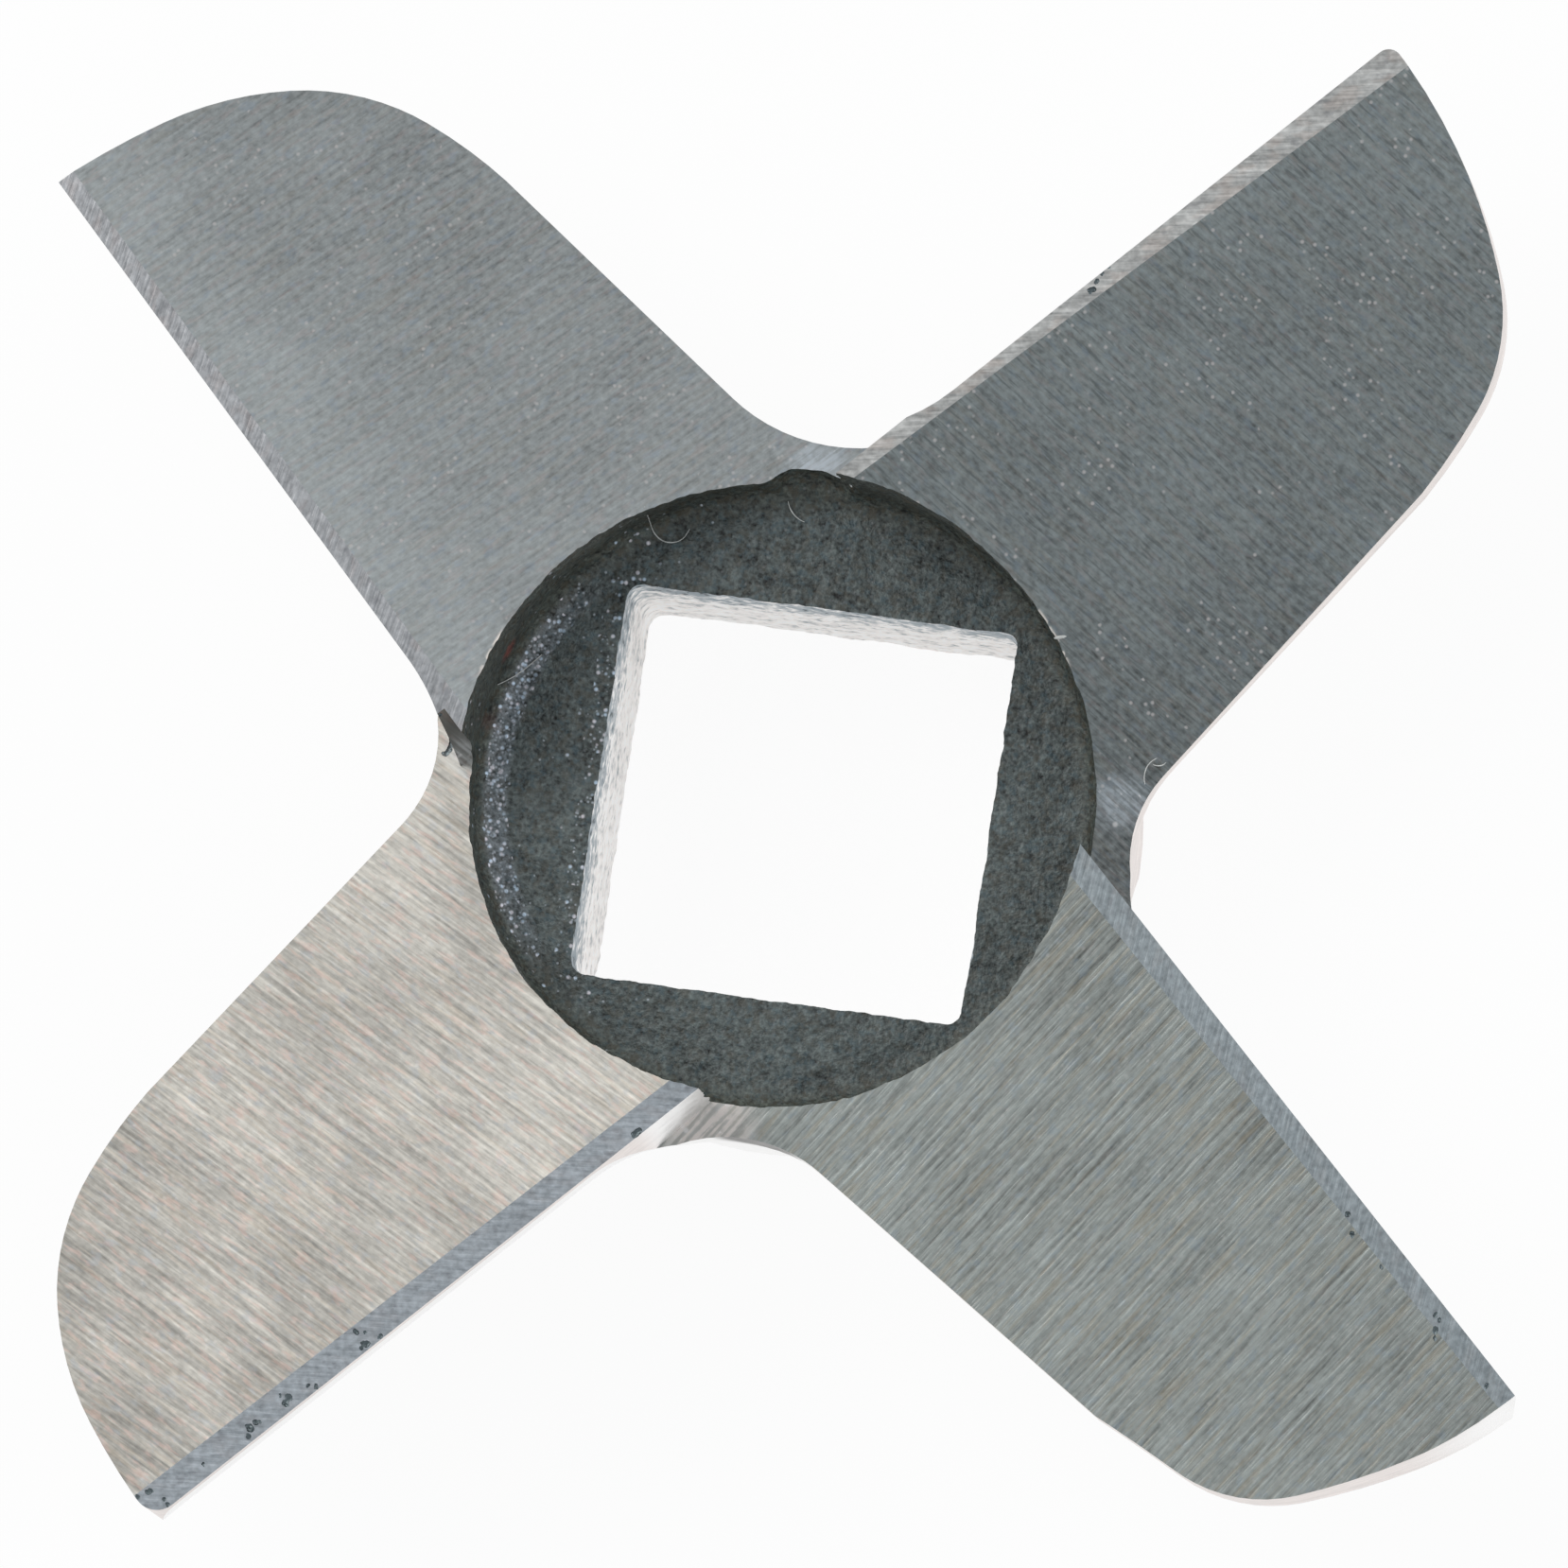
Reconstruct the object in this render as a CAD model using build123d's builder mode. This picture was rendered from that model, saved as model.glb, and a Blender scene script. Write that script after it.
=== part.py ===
# Meat grinder knife, size 12: four blades and a square-bored hub in one piece.
# Millimetres. The axis is Z, the cutting face looks up (+Z) and the back of the
# hub rests on Z = 0. X and Y run along the sides of the drive square.
import os
from math import sqrt

from build123d import *

# --- driving sizes -----------------------------------------------------------
tip_diameter = 62.0        # circle swept by the tips
blade_thickness = 3.75     # blade at its cutting edge
boss_height = 6.55         # hub behind the blades

drive_square = 12.8        # 1/2 in square shank with 0.1 mm of play
square_corner = 0.5        # radius in the corners of the square
corner_wall = 1.05         # from the corner of the square to the pocket wall

recess_depth = 4.1         # round pocket left as cast in the cutting face
recess_cove = 0.8          # radius between the pocket wall and its floor
recess_shift = (-0.25, 0.1)  # the cast pocket sits a little off the axis

boss_wall = 0.75           # metal of the boss outside the pocket
boss_chamfer = 0.9

relief_angle = 13.5        # fall of the face behind the land
rake_angle = 8.0           # lean of the wall under the cutting edge
edge_margin = 0.4          # upright strip left above the leaning wall

# Blades, as shares of the pocket radius: cutting edge ahead of the axis and
# width of the blade where it would pass the axis.
lead_share = 0.6485
width_share = 1.485

# Outline behind the tip: back from it in mm, across as a share of the width.
end_knee = (0.3, 0.26)
shoulder = (1.73, 0.52)
back_knee = (5.15, 0.717)
flank_knee = (8.2, 0.78)

# The cast and hand-ground blades differ a little from one to the next.
blade_angles = (46.5, 134.6, 226.5, 316.3)   # direction each one points
blade_shifts = (0.05, 0.65, -0.4, -0.1)      # cutting edge moved ahead
flank_losses = (0.0, 0.0, 0.1, 0.75)         # width missing at the outer flank
root_radii = (5.7, 4.2, 5.0, 4.1)            # fillet ahead of the cutting edge
root_gains = (0.15, 0.4, 0.0, 0.0)           # width added beside the hub
end_losses = (0.15, 0.0, 0.0, 0.3)           # length missing behind the tip
tip_wears = (0.45, 0.0, 0.8, 0.0)            # radius worn on the tip
hub_lands = (0.3, 0.55, 0.8, 0.85)           # flat land beside the pocket
tip_lands = (0.95, 0.6, 1.0, 0.65)           # flat land beside the tip
step_gaps = (0.0, 0.25, 0.0, 0.0)            # step clear of the next edge

# --- derived sizes -----------------------------------------------------------
overall_height = boss_height + blade_thickness
recess_radius = drive_square / sqrt(2) + corner_wall
boss_radius = recess_radius + boss_wall
boss_cove = 0.3 * boss_height
tip_radius = tip_diameter / 2
blade_width = width_share * recess_radius
leads = [lead_share * recess_radius + shift for shift in blade_shifts]
rake_start = blade_width / 2
beyond = 2 * tip_diameter


def blade_plane(number, height=0.0):
    """Plane of one blade: x runs out along it, y points to its cutting side."""
    return Plane.XY.offset(height).rotated((0, 0, blade_angles[number]))


def tilted(plane, angle):
    """The plane turned about its own x axis."""
    return Plane(plane.location * Rotation(angle, 0, 0))


def on_plane(plane, point):
    """Where the vertical through a point meets a tilted plane."""
    away = point - plane.origin
    normal = plane.z_dir
    height = plane.origin.Z - (away.X * normal.X + away.Y * normal.Y) / normal.Z
    return plane.to_local_coords(Vector(point.X, point.Y, height))


with BuildPart() as knife:

    # --- outline: four blades drawn full height, overlapping in the hub ------
    for number, lead in enumerate(leads):
        tip = sqrt(tip_radius ** 2 - lead ** 2)
        full = lead - blade_width - root_gains[number]
        loss = flank_losses[number]
        short = tip - end_losses[number]
        with BuildSketch(blade_plane(number)):
            with BuildLine():
                edge = Line((0, lead), (tip, lead))
                end = TangentArc(
                    edge @ 1,
                    (short - end_knee[0], lead - end_knee[1] * blade_width),
                    tangent=(0, -1),
                )
                turn = TangentArc(
                    end @ 1,
                    (short - shoulder[0], lead - shoulder[1] * blade_width + loss / 2),
                    tangent=end % 1,
                )
                round_off = TangentArc(
                    turn @ 1,
                    (tip - back_knee[0], lead - back_knee[1] * blade_width + loss),
                    tangent=turn % 1,
                )
                back = TangentArc(
                    round_off @ 1,
                    (tip - flank_knee[0], lead - flank_knee[1] * blade_width + loss),
                    tangent=round_off % 1,
                )
                flank = Line(back @ 1, (0, full))
                Line(flank @ 1, edge @ 0)
            make_face()
            if tip_wears[number] > 0:
                fillet(vertices().sort_by_distance((tip, lead))[0], tip_wears[number])
        extrude(amount=overall_height)

    # --- roots: the inner corner ahead of each cutting edge, filleted --------
    for number, lead in enumerate(leads):
        corner = blade_plane(number).from_local_coords((lead, lead))
        upright_edges = edges().filter_by(Axis.Z)
        fillet(upright_edges.sort_by_distance(corner)[0], root_radii[number])

    # --- back: turned clear around the boss, with a wide cove under the blades
    with BuildSketch(Plane.XZ):
        with BuildLine():
            rim = Line((boss_radius - boss_chamfer, 0), (boss_radius, boss_chamfer))
            wall = Line(rim @ 1, (boss_radius, boss_height - boss_cove))
            cove = RadiusArc(wall @ 1, (boss_radius + boss_cove, boss_height), boss_cove)
            under = Line(cove @ 1, (beyond, boss_height))
            outside = Line(under @ 1, (beyond, -boss_chamfer))
            Polyline(outside @ 1, (boss_radius - 2 * boss_chamfer, -boss_chamfer), rim @ 0)
        make_face()
    revolve(axis=Axis.Z, mode=Mode.SUBTRACT)

    # --- rake: the wall under each cutting edge leans back -------------------
    for number, lead in enumerate(leads):
        edge_height = blade_plane(number, overall_height - edge_margin)
        start = edge_height.from_local_coords((rake_start, lead))
        upright = Plane(start, x_dir=edge_height.x_dir, z_dir=edge_height.z_dir)
        with BuildSketch(tilted(upright, -rake_angle)):
            Rectangle(beyond, blade_width, align=(Align.MIN, Align.MIN))
            fillet(vertices().sort_by_distance((0, 0))[0], root_radii[number])
        extrude(amount=-1.2 * overall_height, mode=Mode.SUBTRACT)

    # --- relief: behind the land each face falls away from the cutting edge --
    # It ends in a step that stands on the line of the next cutting edge.
    for number, lead in enumerate(leads):
        flat = blade_plane(number, overall_height)
        land_start = flat.from_local_coords((recess_radius, lead - hub_lands[number]))
        land_end = flat.from_local_coords((tip_radius, lead - tip_lands[number]))
        level = Plane(land_start, x_dir=land_end - land_start, z_dir=(0, 0, 1))
        fall = tilted(level, relief_angle)
        behind = fall.from_local_coords((-2 * recess_radius, 0))
        ahead = fall.from_local_coords((beyond, 0))
        aside = flat.from_local_coords((beyond, -beyond))
        following = blade_plane(number - 1)
        step_line = leads[number - 1] + step_gaps[number]
        step_end = following.from_local_coords((beyond, step_line))
        step_start = following.from_local_coords((0, step_line))
        corners = [behind, ahead, aside, step_end, step_start]
        with BuildSketch(fall):
            with BuildLine():
                Polyline(*[on_plane(fall, corner) for corner in corners], close=True)
            make_face()
        extrude(amount=overall_height, dir=(0, 0, 1), mode=Mode.SUBTRACT)

    # --- recess: the round pocket left as cast in the cutting face -----------
    recess_floor = overall_height - recess_depth
    recess_axis = Axis((*recess_shift, 0), (0, 0, 1))
    with BuildSketch(Plane(recess_axis.position, x_dir=(1, 0, 0), z_dir=(0, -1, 0))):
        with BuildLine():
            floor = Line((0, recess_floor), (recess_radius - recess_cove, recess_floor))
            bowl = TangentArc(
                floor @ 1,
                (recess_radius, recess_floor + recess_cove),
                tangent=(1, 0),
            )
            side = Line(bowl @ 1, (recess_radius, 2 * overall_height))
            Polyline(side @ 1, (0, 2 * overall_height), floor @ 0)
        make_face()
    revolve(axis=recess_axis, mode=Mode.SUBTRACT)

    # --- drive square: broached right through the hub ------------------------
    with BuildSketch(Plane.XY):
        Rectangle(drive_square, drive_square)
        fillet(vertices(), square_corner)
    extrude(amount=overall_height, mode=Mode.SUBTRACT)

knife.part.label = "knife"
print("knife", knife.part.is_valid, round(knife.part.volume, 1), "mm3")
print("solids", len(knife.part.solids()), "faces", len(knife.part.faces()))

os.makedirs("parts", exist_ok=True)
export_step(knife.part, "parts/knife.step")
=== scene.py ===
# %% [markdown]
# A meat grinder knife: one steel casting with four blades, ground bright on the
# cutting face and left as cast in the round pocket of the hub.
#
# The imported model gives the frame: real size, in metres, with the back of the
# hub on Z = 0 and the cutting face looking up. Everything below is dressed
# around it. The size of the box that it fills is printed.

from math import atan2, cos, degrees, radians, sin, sqrt

import bmesh
import bpy
from mathutils import Matrix, Vector


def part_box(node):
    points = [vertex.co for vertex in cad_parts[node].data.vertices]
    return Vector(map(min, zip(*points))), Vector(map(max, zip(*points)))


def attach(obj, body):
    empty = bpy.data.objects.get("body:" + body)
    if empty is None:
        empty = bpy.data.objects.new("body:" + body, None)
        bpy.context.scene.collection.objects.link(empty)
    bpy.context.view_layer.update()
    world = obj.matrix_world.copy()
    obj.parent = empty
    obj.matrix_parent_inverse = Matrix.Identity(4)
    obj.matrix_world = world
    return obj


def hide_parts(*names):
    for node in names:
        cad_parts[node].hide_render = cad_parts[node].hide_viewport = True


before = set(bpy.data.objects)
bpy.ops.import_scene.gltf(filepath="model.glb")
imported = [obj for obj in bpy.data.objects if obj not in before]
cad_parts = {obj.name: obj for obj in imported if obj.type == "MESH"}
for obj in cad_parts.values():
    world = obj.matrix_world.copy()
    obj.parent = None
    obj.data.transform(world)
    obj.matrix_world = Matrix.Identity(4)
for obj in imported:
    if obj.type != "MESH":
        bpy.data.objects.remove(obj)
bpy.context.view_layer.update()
MM = 0.001
scene = bpy.context.scene
scene.view_settings.view_transform = "Standard"
cad_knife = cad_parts["knife"]
low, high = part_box("knife")
TOP = high.z
print("knife", [round(size / MM, 2) for size in high - low], "mm")

# %% [markdown]
# The camera looks down on the cutting face, leaning a little towards the lower
# right, with a long lens from 600 mm away, so the blades keep their length.
# A camera is easiest to place by three angles: how far it leans from the
# axis, which way it leans, and how far it rolls about its own line of sight.

# %% Camera
CAMERA_TARGET = Vector((0.178, 0.057, 10.3)) * MM
CAMERA_DISTANCE = 600 * MM
CAMERA_LEAN = radians(10.861)
CAMERA_TURN = radians(-42.65)
CAMERA_ROLL = radians(8.677)
CAMERA_LENS = 428.6
CAMERA_SENSOR = 36
CAMERA_CLIP = (0.01, 20)


def place_camera():
    """Makes the camera from its three angles, its distance and its lens."""
    away = Vector((
        sin(CAMERA_LEAN) * cos(CAMERA_TURN),
        sin(CAMERA_LEAN) * sin(CAMERA_TURN),
        cos(CAMERA_LEAN),
    ))
    across = Vector((0, 1, 0)).cross(away).normalized()
    upward = away.cross(across)
    right = across * cos(CAMERA_ROLL) + upward * sin(CAMERA_ROLL)
    up = upward * cos(CAMERA_ROLL) - across * sin(CAMERA_ROLL)
    data = bpy.data.cameras.new("camera")
    data.sensor_width = CAMERA_SENSOR
    data.lens = CAMERA_LENS
    data.clip_start, data.clip_end = CAMERA_CLIP
    camera = bpy.data.objects.new("camera", data)
    turn = Matrix((right, up, away)).transposed().to_4x4()
    camera.matrix_world = Matrix.Translation(CAMERA_TARGET + away * CAMERA_DISTANCE) @ turn
    scene.collection.objects.link(camera)
    scene.camera = camera
    return camera


camera = place_camera()
print("camera at", [round(value, 3) for value in camera.matrix_world.translation])

# %% [markdown]
# Shader maths reads best as plain sums. `Field` wraps a socket, which is a value
# that changes over the surface, and gives it +, -, *, /, ** and <, each of which
# adds one Math node. `Finish` is a material's sheet of nodes, and its `add` makes
# any other node from its type, its settings and its inputs.

# %% Shader helpers
class Field:
    """A socket that Python can calculate with."""

    def __init__(self, sheet, socket):
        self.sheet = sheet
        self.socket = socket

    def maths(self, operation, first, second, **settings):
        """One Math node, on two fields or numbers."""
        values = {0: first, 1: second}
        return self.sheet.add("ShaderNodeMath", {"operation": operation, **settings}, values)

    def __add__(self, other):
        return self.maths("ADD", self, other)

    def __radd__(self, other):
        return self.maths("ADD", other, self)

    def __sub__(self, other):
        return self.maths("SUBTRACT", self, other)

    def __rsub__(self, other):
        return self.maths("SUBTRACT", other, self)

    def __mul__(self, other):
        return self.maths("MULTIPLY", self, other)

    def __truediv__(self, other):
        return self.maths("DIVIDE", self, other)

    def __lt__(self, other):
        return self.maths("LESS_THAN", self, other)

    def __pow__(self, other):
        return self.maths("POWER", self, other)

    def clamp(self):
        """The same field, kept between 0 and 1."""
        return self.maths("ADD", self, 0.0, use_clamp=True)

    def ramp(self, start, end):
        """0 up to start, 1 from end on, and smooth between them."""
        return self.sheet.add(
            "ShaderNodeMapRange",
            {"interpolation_type": "SMOOTHSTEP"},
            {"Value": self, "From Min": start, "From Max": end},
        )


class Finish:
    """One material and its nodes."""

    def __init__(self, name):
        self.material = bpy.data.materials.new(name)
        self.material.use_nodes = True
        self.tree = self.material.node_tree
        self.tree.nodes.clear()
        self.place = self.add("ShaderNodeTexCoord", output="Object")

    def add(self, kind, settings=None, inputs=None, output=0):
        """A new node, given back as the field that one of its outputs holds."""
        node = self.tree.nodes.new(kind)
        for key, value in (settings or {}).items():
            setattr(node, key, value)
        for key, value in (inputs or {}).items():
            self.feed(node.inputs[key], value)
        return Field(self, node.outputs[output]) if node.outputs else node

    def feed(self, socket, value):
        """Links a field to a socket, or sets the socket to a plain value."""
        if isinstance(value, Field):
            self.tree.links.new(value.socket, socket)
        else:
            socket.default_value = value

    def grain(self, length, width, angle=0.0, shift=(0.0, 0.0), detail=2.0, depth=None):
        """Noise whose spots are drawn out: so long, so wide, lying at an angle."""
        spot = self.add(
            "ShaderNodeMapping",
            {"vector_type": "TEXTURE"},
            {
                "Vector": self.place,
                "Location": (shift[0] * MM, shift[1] * MM, 0),
                "Rotation": (0, 0, radians(angle)),
                "Scale": (length * MM, width * MM, (depth or 1.0) * MM),
            },
        )
        flat = "2D" if depth is None else "3D"
        return self.add(
            "ShaderNodeTexNoise",
            {"noise_dimensions": flat},
            {"Vector": spot, "Scale": 1.0, "Detail": detail, "Roughness": 0.55},
        )

    def dots(self, cell, size, share, shift=(0.0, 0.0)):
        """Round dots up to `size` mm wide: one to a cell, in a share of the cells."""
        spot = self.add(
            "ShaderNodeMapping",
            {"vector_type": "TEXTURE"},
            {
                "Vector": self.place,
                "Location": (shift[0] * MM, shift[1] * MM, 0),
                "Scale": (cell * MM, cell * MM, cell * MM),
            },
        )
        cells = self.add("ShaderNodeTexVoronoi", None, {"Vector": spot, "Scale": 1.0})
        chance = Field(self, cells.socket.node.outputs["Color"]) + 0.0
        reach = size / cell / 2
        return (1.0 - cells.ramp(reach * 0.3, reach)) * (chance < share)

    def axis(self, number):
        """The place along one axis of the object, in mm."""
        return self.add("ShaderNodeSeparateXYZ", None, {0: self.place}, output=number) / MM

    def distance(self, point):
        """How far away a point in mm is."""
        point = tuple(part * MM for part in point)
        inputs = {0: self.place, 1: point}
        return self.add("ShaderNodeVectorMath", {"operation": "DISTANCE"}, inputs, "Value") / MM

    def radius(self, centre):
        """How far away an upright line through a centre in metres is, in mm."""
        x = self.axis(0) - centre[0] / MM
        y = self.axis(1) - centre[1] / MM
        return (x * x + y * y) ** 0.5

    def blend(self, factor, first, second, mode="MIX"):
        """A Mix node between two colours."""
        return self.add(
            "ShaderNodeMix",
            {"data_type": "RGBA", "blend_type": mode},
            {"Factor": factor, 6: first, 7: second},
            output=2,
        )

    def bump(self, height, distance):
        """Turns a height from 0 to 1 into a normal, `distance` mm deep."""
        inputs = {"Height": height, "Distance": distance * MM, "Strength": 1.0}
        return self.add("ShaderNodeBump", None, inputs)

    def surface(self, **inputs):
        """The Principled shader, with underscores for the spaces in socket names."""
        named = {key.replace("_", " "): value for key, value in inputs.items()}
        shader = self.add("ShaderNodeBsdfPrincipled", None, named)
        self.add("ShaderNodeOutputMaterial", None, {"Surface": shader})


print("shader helpers ready")

# %% [markdown]
# Ground steel shows what it faces. The falling faces of the four blades tip four
# ways, so one large lamp high on the left makes one blade pale and leaves the one
# that faces the camera dark, as on the real thing. A lamp low on the right
# picks out the grain of the cast pocket. The rest is a plain pale room.

# %% Light
LAMP_LEFT = {"turn": 150, "lean": 46, "size": 0.36, "power": 1.0, "color": (1.0, 0.97, 0.93)}
LAMP_RIGHT = {"turn": 30, "lean": 66, "size": 0.16, "power": 0.5, "color": (0.96, 0.98, 1.0)}
LAMP_DISTANCE = 0.55
ROOM_HORIZON = (0.25, (1.0, 1.0, 1.0, 1))
ROOM_ZENITH = (0.95, (0.46, 0.50, 0.52, 1))


def place_lamp(name, turn, lean, size, power, color):
    """A square lamp that looks at the hub from a turn and a lean, in degrees."""
    turn, lean = radians(turn), radians(lean)
    away = Vector((sin(lean) * cos(turn), sin(lean) * sin(turn), cos(lean)))
    data = bpy.data.lights.new(name, "AREA")
    data.size = size
    data.energy = power
    data.color = color
    lamp = bpy.data.objects.new(name, data)
    lamp.location = away * LAMP_DISTANCE
    lamp.rotation_euler = away.to_track_quat("Z", "Y").to_euler()
    scene.collection.objects.link(lamp)


def light_room():
    """A room that is palest at the horizon: each end of its ramp is a height and a colour."""
    world = bpy.data.worlds.new("room")
    world.use_nodes = True
    nodes, links = world.node_tree.nodes, world.node_tree.links
    nodes.clear()
    place = nodes.new("ShaderNodeTexCoord")
    split = nodes.new("ShaderNodeSeparateXYZ")
    ramp = nodes.new("ShaderNodeValToRGB")
    for end, (height, color) in zip(ramp.color_ramp.elements, (ROOM_HORIZON, ROOM_ZENITH)):
        end.position = height
        end.color = color
    back = nodes.new("ShaderNodeBackground")
    out = nodes.new("ShaderNodeOutputWorld")
    links.new(place.outputs["Generated"], split.inputs[0])
    links.new(split.outputs["Z"], ramp.inputs["Fac"])
    links.new(ramp.outputs["Color"], back.inputs["Color"])
    links.new(back.outputs["Background"], out.inputs["Surface"])
    scene.world = world


place_lamp("lamp_left", **LAMP_LEFT)
place_lamp("lamp_right", **LAMP_RIGHT)
light_room()
print("two lamps and a pale room")

# %% [markdown]
# The floor is a plain pale sheet that the hub stands on. Seen by the camera or
# in a reflection it glows almost white by itself, and only the rest of it takes
# shadows, so the knife keeps a soft shadow without a grey floor.

# %% Floor
FLOOR_SIZE = 6.0
FLOOR_GLOW = 0.93
FLOOR_COLOR = (0.9, 0.9, 0.9, 1)


def make_floor():
    """A large sheet on Z = 0."""
    bpy.ops.mesh.primitive_plane_add(size=FLOOR_SIZE, location=(0, 0, 0))
    floor = bpy.context.object
    floor.name = "floor"
    sheet = Finish("pale floor")
    path = sheet.add("ShaderNodeLightPath", output="Is Camera Ray")
    glossy = Field(sheet, path.socket.node.outputs["Is Glossy Ray"])
    through = Field(sheet, path.socket.node.outputs["Is Transmission Ray"])
    seen = (path + glossy + through).clamp()
    glow = sheet.add("ShaderNodeEmission", None, {"Color": (1, 1, 1, 1), "Strength": 1.0})
    matt = sheet.add("ShaderNodeBsdfDiffuse", None, {"Color": FLOOR_COLOR})
    mix = sheet.add("ShaderNodeMixShader", None, {0: seen * FLOOR_GLOW, 1: matt, 2: glow})
    sheet.add("ShaderNodeOutputMaterial", None, {"Surface": mix})
    floor.data.materials.append(sheet.material)


make_floor()
print("floor", FLOOR_SIZE, "m across")

# %% [markdown]
# The knife itself starts as a copy of the frame's own mesh, because its planes,
# arcs and edges are already right to about 0.015 mm. The faces of the copy don't
# share their corners, so it is merged by distance before anything is cut from it.

# %% Copy the knife
MERGE_DISTANCE = 0.002 * MM


def select(*things):
    """Selects these objects alone, the first of them active."""
    bpy.ops.object.select_all(action="DESELECT")
    for thing in things:
        thing.select_set(True)
    bpy.context.view_layer.objects.active = things[0]


def copy_knife():
    """A merged copy of the frame's knife, ready to be cut."""
    select(cad_knife)
    bpy.ops.object.duplicate()
    knife = bpy.context.object
    knife.name = "grinder_knife"
    knife.data.materials.clear()
    for key in list(knife.keys()):
        del knife[key]
    bpy.ops.object.mode_set(mode="EDIT")
    bpy.ops.mesh.select_all(action="SELECT")
    bpy.ops.mesh.remove_doubles(threshold=MERGE_DISTANCE)
    bpy.ops.object.mode_set(mode="OBJECT")
    bpy.ops.mesh.customdata_custom_splitnormals_clear()
    return knife


def open_edges(thing):
    """How many edges don't join exactly two faces."""
    shape = bmesh.new()
    shape.from_mesh(thing.data)
    count = sum(1 for edge in shape.edges if len(edge.link_faces) != 2)
    shape.free()
    return count


knife = copy_knife()
print("copied", len(knife.data.polygons), "faces,", open_edges(knife), "open edges")

# %% [markdown]
# Every face of the knife gets the finish of its place. A face is known by its
# normal and by where it lies: the lands are level with the top, the falling faces
# lean by 13.5 degrees away from their cutting edge, the walls stand upright apart
# from those that lean back under the cutting edges, and what looks down is the
# back. The limits below are for the upward part of a face's normal. The pocket
# and the drive hole are cut anew later, so the copy's own walls there don't matter.
# A land runs along the leading edge, so it lies some degrees ahead of its blade.

# %% Name the surfaces
BLADE_TURNS = (46.5, 134.6, 226.5, 316.3)
BLADE_LEADS = (6.6, 7.2, 6.15, 6.45)
BLADE_NAMES = ("far_right", "far_left", "near_left", "near_right")
FINISH_NAMES = (
    [f"ground {name}" for name in BLADE_NAMES]
    + [f"land {name}" for name in BLADE_NAMES]
    + ["blade walls", "cast pocket", "drive walls", "cast back", "edge walls", "pit skin"]
)
FIRST_LAND = FINISH_NAMES.index("land far_right")
WALLS = FINISH_NAMES.index("blade walls")
BACK = FINISH_NAMES.index("cast back")
EDGE_WALLS = FINISH_NAMES.index("edge walls")
LEVEL, FALLING, UPRIGHT, LEANING, DOWNWARD = 0.999, 0.95, 0.1, -0.1, -0.3
LAND_DEPTH = 0.02 * MM
FALLING_HEIGHT = 0.6 * TOP
LAND_AHEAD = 12


def nearest_blade(angle):
    """The number of the blade whose direction is nearest to an angle in degrees."""
    gaps = [abs((angle - turn + 180) % 360 - 180) for turn in BLADE_TURNS]
    return gaps.index(min(gaps))


def surface_of(face):
    """The finish number of one face of the knife."""
    middle, normal = face.center, face.normal
    if normal.z > LEVEL and middle.z > TOP - LAND_DEPTH:
        return FIRST_LAND + nearest_blade(degrees(atan2(middle.y, middle.x)) - LAND_AHEAD)
    if normal.z > FALLING and middle.z > FALLING_HEIGHT:
        return nearest_blade(degrees(atan2(normal.y, normal.x)) + 90)
    if normal.z < DOWNWARD:
        return BACK
    if normal.z < LEANING:
        return EDGE_WALLS
    return WALLS


def name_surfaces(knife):
    """Gives each face its finish number."""
    for name in FINISH_NAMES:
        knife.data.materials.append(bpy.data.materials.new(name))
    for face in knife.data.polygons:
        face.material_index = surface_of(face)
    counts = {}
    for face in knife.data.polygons:
        name = FINISH_NAMES[face.material_index]
        counts[name] = counts.get(name, 0) + 1
    return counts


print(name_surfaces(knife))

# %% [markdown]
# The pocket and the drive hole are cut out of the copy, with rough plugs as the
# cutting tools. Where a ground face cuts a rough cast wall, the rim comes out
# ragged, as it does on the real casting. A plug starts as a primitive, a Remesh
# modifier gives it small even faces, and Displace modifiers push them about.
# Each plug is a little larger than the smooth hole that it replaces. The noise
# has its origin off the axis, so that no plug is centred on it.

# %% Helpers for plugs
PLUG_FACE = 0.13
NOISE_ORIGIN = (0.0137, 0.0071, 0.0)


def fresh(operator, **settings):
    """Adds a primitive with nothing else selected, and returns it."""
    bpy.ops.object.select_all(action="DESELECT")
    operator(**settings)
    return bpy.context.object


def apply_modifier(thing, kind, **settings):
    """Adds a modifier, sets it and applies it."""
    bpy.context.view_layer.objects.active = thing
    modifier = thing.modifiers.new(kind.lower(), kind)
    for key, value in settings.items():
        setattr(modifier, key, value)
    bpy.ops.object.modifier_apply(modifier=modifier.name)


def roughen(thing, grain, depth, stretch=(1, 1, 1)):
    """Pushes the surface about: grain and depth in mm, stretched along the axes."""
    clouds = bpy.data.textures.new("clouds", "CLOUDS")
    clouds.noise_scale = 1.0
    clouds.noise_depth = 1
    guide = bpy.data.objects.new("guide", None)
    guide.scale = [grain * MM * share for share in stretch]
    guide.location = NOISE_ORIGIN
    scene.collection.objects.link(guide)
    bpy.context.view_layer.update()
    apply_modifier(
        thing,
        "DISPLACE",
        texture=clouds,
        texture_coords="OBJECT",
        texture_coords_object=guide,
        strength=depth * MM,
        mid_level=0.5,
    )
    bpy.data.objects.remove(guide)


def place_applied(thing):
    """Puts the object's place, turn and size into its mesh."""
    select(thing)
    bpy.ops.object.transform_apply(location=True, rotation=True, scale=True)


def join(things, name):
    """Makes one object of several."""
    select(*things)
    bpy.ops.object.join()
    things[0].name = name
    return things[0]


def cover(thing, material):
    """Gives the whole object one material."""
    thing.data.materials.clear()
    thing.data.materials.append(material)


def combine(knife, other, operation):
    """Cuts a shape out of the knife or joins it on, keeping the shape's finish."""
    apply_modifier(knife, "BOOLEAN", operation=operation, object=other, solver="MANIFOLD")
    bpy.data.objects.remove(other)


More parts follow.
